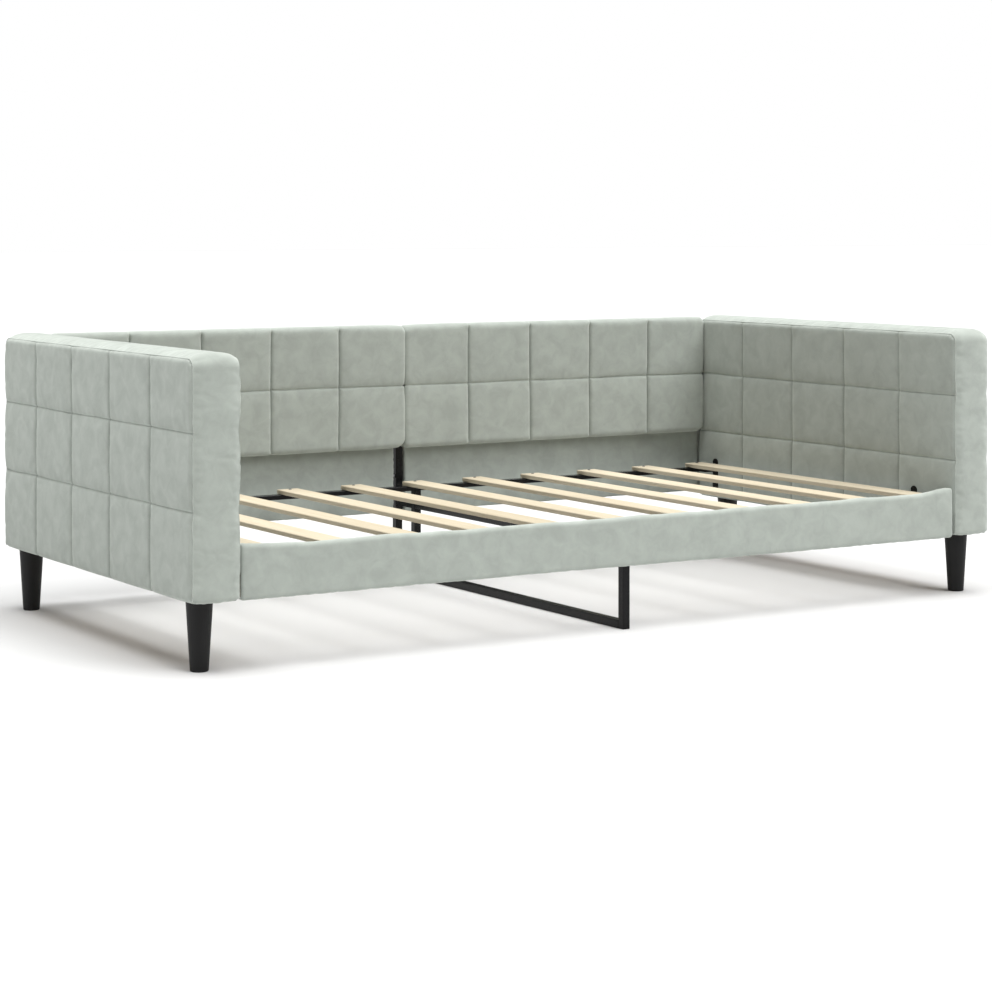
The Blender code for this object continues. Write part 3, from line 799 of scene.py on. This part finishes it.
def cushion_pattern(side):
    pillow = cushion_pillow(side)
    near, far = abs(CUSHION_LOW.x), CUSHION_HIGH.x
    seams = sorted(side * (near + (far - near) * k / CUSHION_COLUMNS) for k in range(1, CUSHION_COLUMNS))
    u_breaks, v_breaks = pillow.breaks(0, seams), pillow.breaks(1, [CUSHION_ROW])
    return Pattern(u_breaks, v_breaks, seams, [CUSHION_ROW], cap=CUSHION_PUFF)


def build_cushion(pattern, word, side, seed):
    """One half of the tufted back cushion, dipped a little where the halves meet."""
    u, v, height = cover(pattern, seed, wander=CUSHION_WANDER, boost=CUSHION_SEAM_BOOST)
    top_start, top_long, top_share = CUSHION_TOP_PLAIN
    foot_start, foot_long, foot_share = CUSHION_FOOT_PLAIN
    top = np.clip((v - CUSHION_HIGH.z - CUSHION_RISE + top_start) / top_long, 0, 1)
    foot = np.clip((CUSHION_LOW.z - CUSHION_DROP + foot_start - v) / foot_long, 0, 1)
    plain = top_share * smooth(top) + foot_share * smooth(foot)
    height = height * (1 - plain) + CUSHION_PLAIN_RISE * plain
    x, z, deep = cushion_pillow(side).lay(u, v, height)
    y = np.minimum(CUSHION_LOW.y + CUSHION_SINK + deep, CUSHION_HIGH.y - CUSHION_BACK_GAP)
    joint = np.exp(-np.abs(x) / CUSHION_JOINT)
    z_mid = (CUSHION_LOW.z + CUSHION_HIGH.z) / 2
    share = (z - z_mid) / (CUSHION_HIGH.z - z_mid)
    z = z - joint * CUSHION_DIP * np.clip(share, 0, 1) ** 2
    z = z + joint * CUSHION_TUCK_UP * np.clip(-share, 0, 1) ** 3 * (side < 0)
    piece = sheet_mesh(f"back_cushion_cover_{word}", np.stack([x, y, z], -1), velvet, flip=False)
    return upholster(piece, "velvet", 0.75, f"back_cushion_{word}")


PAD_INSET = 0.5 * MM
PAD_ROLL = 3.0 * MM
PAD_SINK = 0.8 * MM
PAD_CORNER = 4.0 * MM
PAD_PUFF = 1.4 * MM


def pad_pillow(side):
    return plain_pillow(PAD_LOW, PAD_HIGH, side, PAD_INSET, PAD_ROLL, PAD_SINK, PAD_CORNER)


def build_pad(pattern, word, side, seed):
    """The plain pad below a cushion."""
    u, v, height = cover(pattern, seed)
    x, z, deep = pad_pillow(side).lay(u, v, height)
    y = np.minimum(PAD_LOW.y + PAD_SINK + deep, PAD_HIGH.y)
    piece = sheet_mesh(f"back_lower_cover_{word}", np.stack([x, y, z], -1), velvet, flip=False)
    return upholster(piece, "velvet", 0.9, f"back_lower_pad_{word}")


BOARD_INSET = 1.0 * MM
BOARD_ROLL = 6.0 * MM
BOARD_SINK = 1.0 * MM
BOARD_CORNER = 8.0 * MM
BOARD_PUFF = 1.6 * MM


def board_pillow(side):
    return plain_pillow(BOARD_LOW, BOARD_HIGH, side, BOARD_INSET, BOARD_ROLL, BOARD_SINK, BOARD_CORNER)


def build_board(pattern, word, side, seed):
    """A back board's velvet: smooth over the rear face, turned round the board's edges."""
    u, v, height = cover(pattern, seed)
    x, z, deep = board_pillow(side).lay(u, v, height)
    y = np.maximum(BOARD_HIGH.y - BOARD_SINK - deep, BOARD_LOW.y)
    piece = sheet_mesh(f"back_board_cover_{word}", np.stack([x, y, z], -1), velvet_rear, flip=True)
    return upholster(piece, "velvet_back", 0.9, f"back_board_{word}")


# ---------------------------------------------------------------- front rail

RAIL_ROLL = 7 * MM
RAIL_REAR_ROLL = 5.6 * MM
RAIL_TURN = 22 * MM           # how far the cover comes down behind the board
RAIL_SINK = 1.6 * MM
RAIL_BACK_GAP = 0.3 * MM
RAIL_FOOT = 0.4 * MM          # the cover's lower edge lies this far above the board's underside
RAIL_END = RAIL_HIGH.x - 0.4 * MM
RAIL_END_ROLL = (6 * MM, 5 * MM)   # length and depth of the rounding at the rail's two ends
RAIL_PUFF = 2.2 * MM

# The soft top edge's rise along the bed, in metres: all along, towards both ends, and between
TOP_RISE = 6.5 * MM
TOP_RIGHT = (11.0 * MM, 0.86, 0.13, 1.6)        # height, start, length and power of the rise
TOP_LEFT = (10.0 * MM, -1.002, 0.055)           # height, where it is highest, and reach
TOP_HUMP = (2.0 * MM, -0.67, 0.10)              # height, middle and half width
TOP_WAVES = ((0.8 * MM, 19.0, 0.6), (0.5 * MM, 47.0, 0.0))   # height, waves per metre times tau, start

# Slack folds near the ends: place along the bed, slant, half width and height
RAIL_FOLDS = (
    (0.965, 0.75, 0.011, 1.6 * MM),
    (0.915, 0.95, 0.014, 1.3 * MM),
    (0.84, 1.25, 0.018, 0.9 * MM),
    (-0.94, -0.9, 0.014, 1.0 * MM),
    (-0.86, -1.2, 0.018, 0.7 * MM),
)
FOLD_GROWTH = 1.6             # how quickly the folds grow upwards from the rail's foot
RAIL_SLOW = (0.8 * MM, 0.16)  # height and size of the slow changes over the rail's face
FOOT_SAG = (3.0 * MM, -0.2, 0.7)   # how far the foot sags: depth, start and length
FOOT_DROP = 1.5 * MM          # how far the foot hangs below the board


def rail_path():
    """Section of the rail's cover: from under the board, up its face, over it and behind."""
    front, back = RAIL_LOW.y + RAIL_SINK, RAIL_HIGH.y - RAIL_BACK_GAP
    low, top = RAIL_LOW.z + RAIL_FOOT, RAIL_HIGH.z - RAIL_SINK
    corners = [(back, low), (front, low), (front, top), (back, top), (back, top - RAIL_TURN)]
    return Path(corners, [RAIL_ROLL, RAIL_ROLL, RAIL_REAR_ROLL])


RAIL = rail_path()


def rail_pattern():
    front_low = RAIL.distance_of((RAIL_LOW.y, RAIL_LOW.z))
    front_top = RAIL.distance_of((RAIL_LOW.y, RAIL_HIGH.z))
    return Pattern([-RAIL_END, RAIL_END], [0, front_low, front_top, RAIL.length], cap=RAIL_PUFF)


def rail_lift(x):
    """How far the rail's soft top edge stands above the board, along the bed."""
    high, start, long, power = TOP_RIGHT
    lift = TOP_RISE + high * np.clip((x - start) / long, 0, 1) ** power
    high, start, reach = TOP_LEFT
    lift = lift + high * np.exp(-(x - start) / reach)
    high, middle, wide = TOP_HUMP
    lift = lift + high * np.exp(-((x - middle) / wide) ** 2)
    for high, rate, start in TOP_WAVES:
        lift = lift + high * np.sin(x * rate + start)
    return lift


def build_rail(pattern, seed):
    """The front rail's padded cover, with a soft wavy top and slack folds near its ends."""
    x, t, height = cover(pattern, seed)
    (y, z), (ny, nz) = RAIL.at(t)
    edge = np.clip((RAIL_END - np.abs(x)) / RAIL_END_ROLL[0], 0, 1)
    inward = RAIL_END_ROLL[1] * (1 - np.sqrt(np.clip(1 - (1 - edge) ** 2, 0, 1)))
    share = np.clip((z - RAIL_LOW.z) / (RAIL_HIGH.z - RAIL_LOW.z), 0, 1)
    front = np.clip((RAIL_HIGH.y - y) / (RAIL_HIGH.y - RAIL_LOW.y), 0, 1)
    folds = 0
    for at, slant, wide, high in RAIL_FOLDS:
        line = (x - at) + slant * (RAIL_HIGH.z - z)
        folds = folds + high * np.exp(-(line / wide) ** 2) * np.clip(share * FOLD_GROWTH, 0, 1)
    slow = RAIL_SLOW[0] * soft_noise(x, z, RAIL_SLOW[1], seed + 7)
    height = height + (folds + slow) * front - inward
    sag, start, long = FOOT_SAG
    foot = sag * np.clip((x - start) / long, 0, 1) * (1 - share) ** 3 + FOOT_DROP * (1 - share)
    lift = rail_lift(x) * share ** 2 - foot
    grid = np.stack([x, y + ny * height, z + nz * height + lift], -1)
    piece = sheet_mesh("front_rail_velvet", grid, velvet, flip=True)
    return upholster(piece, "velvet", 0.6, "front_rail_cover")


# ---------------------------------------------------------------- slat screws

# Radius and height of a screw head's rings, in millimetres, from its recess to its rim
SCREW_PROFILE = [(0.0, 0.8), (1.3, 0.8), (1.6, 1.9), (2.9, 1.7), (4.0, 0.9), (4.3, -0.2)]
SCREW_SIDES = 20
SCREW_INSET = 12 * MM         # distance of the front screws from the slats' front ends
REAR_SCREW_INSET = 17 * MM


def screw_head(points, faces, x, y, z):
    """Adds one domed screw head with a round recess, standing on z."""
    first = len(points)
    for radius, height in SCREW_PROFILE:
        for k in range(SCREW_SIDES):
            angle = tau * k / SCREW_SIDES
            across, along = radius * MM * cos(angle), radius * MM * sin(angle)
            points.append((x + across, y + along, z + height * MM))
    for ring in range(len(SCREW_PROFILE) - 1):
        for k in range(SCREW_SIDES):
            a = first + ring * SCREW_SIDES + k
            b = first + ring * SCREW_SIDES + (k + 1) % SCREW_SIDES
            faces.append([a + SCREW_SIDES, b + SCREW_SIDES, b, a])


def build_screws(name, y_of):
    """One screw head on each slat, as one piece."""
    points, faces = [], []
    for part in frame["record"]["subparts"]:
        if part["material_slot"] == "slat_wood":
            low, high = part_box(part["node"])
            screw_head(points, faces, (low.x + high.x) / 2, y_of(low, high), SLAT_TOP)
    piece = shaped(name, points, faces, screw_dark)
    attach(piece, ROOT)


build_screws("slat_screws_front", lambda low, high: low.y + SCREW_INSET)
build_screws("slat_screws_rear", lambda low, high: high.y - REAR_SCREW_INSET)

# ---------------------------------------------------------------- all the upholstery

jobs = []
for number, (word, side) in enumerate(SIDES.items()):
    seed = 100 * (number + 1)
    pad, board = plain_pattern(pad_pillow(side), PAD_PUFF), plain_pattern(board_pillow(side), BOARD_PUFF)
    jobs.append((face_pattern(), build_face, (side, 1, X_OUTER, seed, f"arm_outer_pad_{word}")))
    jobs.append((face_pattern(), build_face, (side, -1, X_INNER, seed + 10, f"arm_inner_pad_{word}")))
    jobs.append((band_pattern(), build_band, (word, side, seed + 20)))
    jobs.append((cushion_pattern(side), build_cushion, (word, side, seed + 30)))
    jobs.append((pad, build_pad, (word, side, seed + 40)))
    jobs.append((board, build_board, (word, side, seed + 50)))
jobs.append((rail_pattern(), build_rail, (500,)))

patterns = [job[0] for job in jobs]
simulate(patterns)
for pattern, build, details in jobs:
    build(pattern, *details)

# ---------------------------------------------------------------- floor, light and camera

FLOOR_HALF = 60.0             # half the floor's width

BRIGHT_WAY = (-1.0, 0.25, 0.10)   # where the surroundings are brightest: to the left
BRIGHT_SIDE = 0.29
DIM_SIDE = 0.03
BRIGHT_RANGE = (-0.2, 1.0)    # cosines from that way at which they are dim and bright
SUNS = {                      # way it shines, power and angle in degrees
    "overhead": ((-0.02, 0.04, -1.0), 5.0, 56),
    "front_right": ((-0.42, 0.90, -0.88), 1.95, 40),
    "low_left": ((1.0, 0.1, -0.04), 0.25, 6),
}

CAMERA_AT = (-3.2801, -5.2291, 0.9565)
CAMERA_TURN = -0.557
SENSOR_WIDTH = 36             # millimetres, as the lens
LENS = 88.92
SHIFT_UP = -0.2785
FURTHEST = 200                # the camera sees this far, in metres


def build_floor():
    """A wide pale floor with a barely uneven tone."""
    half = FLOOR_HALF
    corners = [(-half, -half, 0), (half, -half, 0), (half, half, 0), (-half, half, 0)]
    made = Nodes("pale_floor")
    tone = made.ramp(made.noise(0.6), (0.3, (0.575, 0.575, 0.573)), (0.7, (0.59, 0.59, 0.588)))
    made.drive("Base Color", tone)
    made.set("Roughness", 0.9)
    shaped("floor", corners, [[0, 1, 2, 3]], made.material)


def sun_light(name, way, power, angle):
    """A soft sun that shines along way."""
    light = bpy.data.lights.new(name, "SUN")
    light.energy = power
    light.angle = radians(angle)
    made = bpy.data.objects.new(name, light)
    made.rotation_euler = Vector(way).to_track_quat("-Z", "Y").to_euler()
    bpy.context.scene.collection.objects.link(made)


def build_light():
    """Dim surroundings, brighter to the left, that the camera sees as white, and the suns."""
    world = bpy.data.worlds.new("surroundings")
    world.use_nodes = True
    tree = world.node_tree
    new, link = tree.nodes.new, tree.links.new
    way = new("ShaderNodeTexCoord").outputs["Generated"]
    along = new("ShaderNodeVectorMath")
    along.operation = "DOT_PRODUCT"
    along.inputs[1].default_value = Vector(BRIGHT_WAY).normalized()
    link(way, along.inputs[0])
    power = new("ShaderNodeMapRange")
    power.interpolation_type = "SMOOTHSTEP"
    power.inputs["From Min"].default_value = BRIGHT_RANGE[0]
    power.inputs["From Max"].default_value = BRIGHT_RANGE[1]
    power.inputs["To Min"].default_value = DIM_SIDE
    power.inputs["To Max"].default_value = BRIGHT_SIDE
    link(along.outputs["Value"], power.inputs["Value"])
    seen = new("ShaderNodeLightPath").outputs["Is Camera Ray"]
    choice = new("ShaderNodeMix")
    link(seen, choice.inputs["Factor"])
    link(power.outputs["Result"], choice.inputs["A"])
    choice.inputs["B"].default_value = 1.0
    link(choice.outputs["Result"], tree.nodes["Background"].inputs["Strength"])
    tree.nodes["Background"].inputs["Color"].default_value = (1.0, 1.0, 1.0, 1.0)
    bpy.context.scene.world = world
    for name, (way, power, angle) in SUNS.items():
        sun_light(name, way, power, angle)


def build_camera():
    """A level camera in front of the left arm, with the frame shifted down to the bed."""
    camera = bpy.data.cameras.new("camera")
    camera.sensor_width = SENSOR_WIDTH
    camera.lens = LENS
    camera.shift_y = SHIFT_UP
    camera.clip_end = FURTHEST
    made = bpy.data.objects.new("camera", camera)
    made.location = CAMERA_AT
    made.rotation_euler = (pi / 2, 0, CAMERA_TURN)
    scene = bpy.context.scene
    scene.collection.objects.link(made)
    scene.camera = made
    scene.view_settings.view_transform = "Standard"


build_floor()
build_light()
build_camera()
